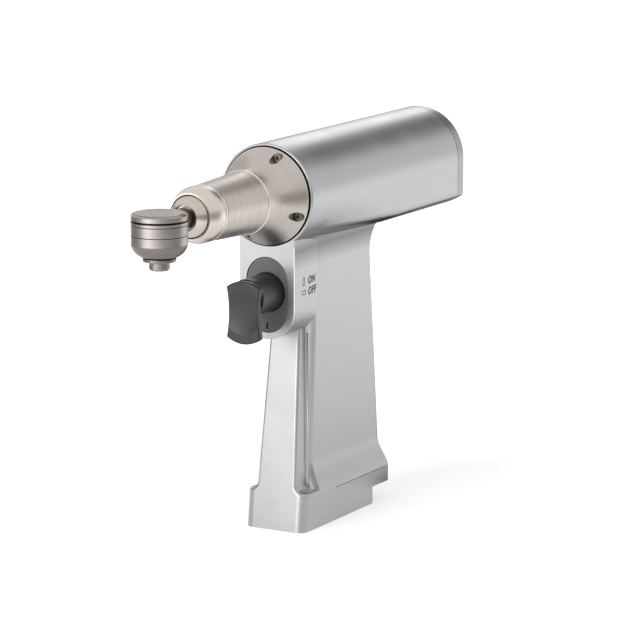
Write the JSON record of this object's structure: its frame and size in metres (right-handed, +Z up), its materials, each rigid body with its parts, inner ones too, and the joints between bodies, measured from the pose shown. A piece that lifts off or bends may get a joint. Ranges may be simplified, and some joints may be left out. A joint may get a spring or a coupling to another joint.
{
  "type": "surgical oscillating saw",
  "caption": "Battery surgical oscillating saw: pistol-grip aluminium handpiece with a turning trigger, tapered nose, swivelling drum head and quick blade clamp.",
  "frame": {"origin": "middle of the open battery face under the grip's foot, on the plane the foot stands on", "axes": "+Z up along the grip, -Y towards the saw head, +X the side of the handpiece that carries the trigger's ON and OFF marks"},
  "size_m": [0.038, 0.2001, 0.143],
  "materials": {
    "housing_aluminium": "satin blasted, silver anodised",
    "cover_aluminium": "satin, warm grey anodised",
    "nose_metal": "turned and brushed, warm nickel grey",
    "hard_steel": "ground",
    "motor_aluminium": "machined",
    "stator_iron": "laminated",
    "balance_brass": "turned",
    "copper_winding": "varnished wire",
    "contact_gold": "plated",
    "magnet_metal": "plated",
    "seal_rubber": "matte",
    "dark_insert": "satin, warm dark grey",
    "trigger_black": "satin, charcoal",
    "bush_plastic": "moulded, self-lubricating",
    "contact_plastic": "moulded",
    "circuit_board": "lacquered laminate",
    "potting": "cast resin",
    "wire_cover": "extruded"
  },
  "bodies": {
    "handpiece": {"main_housing": "housing_aluminium", "rear_cover": "cover_aluminium", "rear_cover_seal": "seal_rubber", "rear_cover_screws": "hard_steel", "nose_housing": "nose_metal", "nose_collar": "nose_metal", "nose_seal": "seal_rubber", "nose_screws": "hard_steel", "index_balls": "hard_steel", "index_spring": "hard_steel", "head_clip": "hard_steel", "drive_bearings": "hard_steel", "bearing_spacer": "hard_steel", "bearing_retainer": "hard_steel", "motor_stator": "stator_iron", "motor_windings": "copper_winding", "motor_front_bell": "motor_aluminium", "motor_rear_bell": "motor_aluminium", "motor_bearings": "hard_steel", "position_board": "circuit_board", "motor_lock_ring": "motor_aluminium", "trigger_bezel": "dark_insert", "trigger_seal": "seal_rubber", "trigger_guide": "bush_plastic", "detent_ball": "hard_steel", "detent_spring": "hard_steel", "trigger_sensor": "potting", "trigger_spring": "hard_steel", "control_board": "circuit_board", "motor_driver": "potting", "motor_leads": "wire_cover", "battery_leads": "wire_cover", "contact_block": "contact_plastic", "contact_pins": "contact_gold", "contact_screws": "hard_steel"},
    "rotor": {"rotor_shaft": "hard_steel", "rotor_magnet": "magnet_metal", "balance_rings": "balance_brass", "sensor_magnet": "magnet_metal", "drive_coupling": "hard_steel", "drive_shaft": "hard_steel", "crank_sleeve": "hard_steel"},
    "head": {"head_housing": "nose_metal", "head_shank": "nose_metal", "head_bowl": "nose_metal", "head_bearings": "hard_steel", "head_bearing_spacer": "hard_steel", "head_seal": "seal_rubber", "button_spring": "hard_steel"},
    "button": {"release_button": "nose_metal"},
    "blade_drive": {"blade_shaft": "hard_steel", "blade_flange": "hard_steel", "drive_pins": "hard_steel", "clamp_spring": "hard_steel"},
    "clamp": {"clamp_rod": "hard_steel", "clamp_nut": "hard_steel"},
    "selector": {"selector_sleeve": "bush_plastic"},
    "trigger": {"trigger_stem": "trigger_black", "trigger_head": "trigger_black", "trigger_magnet": "magnet_metal"}
  },
  "joints": [
    {"name": "selector_turn", "type": "hinge", "parent": "handpiece", "child": "selector", "pos_m": [0, -0.0139, 0.0891], "axis": [0, -1, 0], "range_deg": [0, 90]},
    {"name": "trigger_press", "type": "slide", "parent": "selector", "child": "trigger", "axis": [0, 1, 0], "range_m": [0, 0.005], "stiffness_N_per_m": 400, "springref_m": -0.005, "deforming": ["trigger_spring"]},
    {"name": "rotor_spin", "type": "hinge", "parent": "handpiece", "child": "rotor", "pos_m": [0, 0, 0.124], "axis": [0, 1, 0], "continuous": true},
    {"name": "head_swivel", "type": "hinge", "parent": "handpiece", "child": "head", "pos_m": [0, -0.09, 0.124], "axis": [0, 1, 0], "range_deg": [-180, 180]},
    {"name": "blade_swing", "type": "hinge", "parent": "head", "child": "blade_drive", "pos_m": [0, -0.1019, 0.115], "axis": [0, 0, 1], "range_deg": [-2.5, 2.5]},
    {"name": "button_press", "type": "slide", "parent": "head", "child": "button", "axis": [0, 0, -1], "range_m": [0, 0.001], "stiffness_N_per_m": 3000, "springref_m": -0.001, "deforming": ["button_spring"]},
    {"name": "clamp_release", "type": "slide", "parent": "blade_drive", "child": "clamp", "axis": [0, 0, -1], "range_m": [0, 0.001], "stiffness_N_per_m": 3000, "springref_m": -0.001, "deforming": ["clamp_spring"]}
  ],
  "couplings": [
    {"joint": "clamp_release", "follows": "button_press", "ratio": 1}
  ]
}
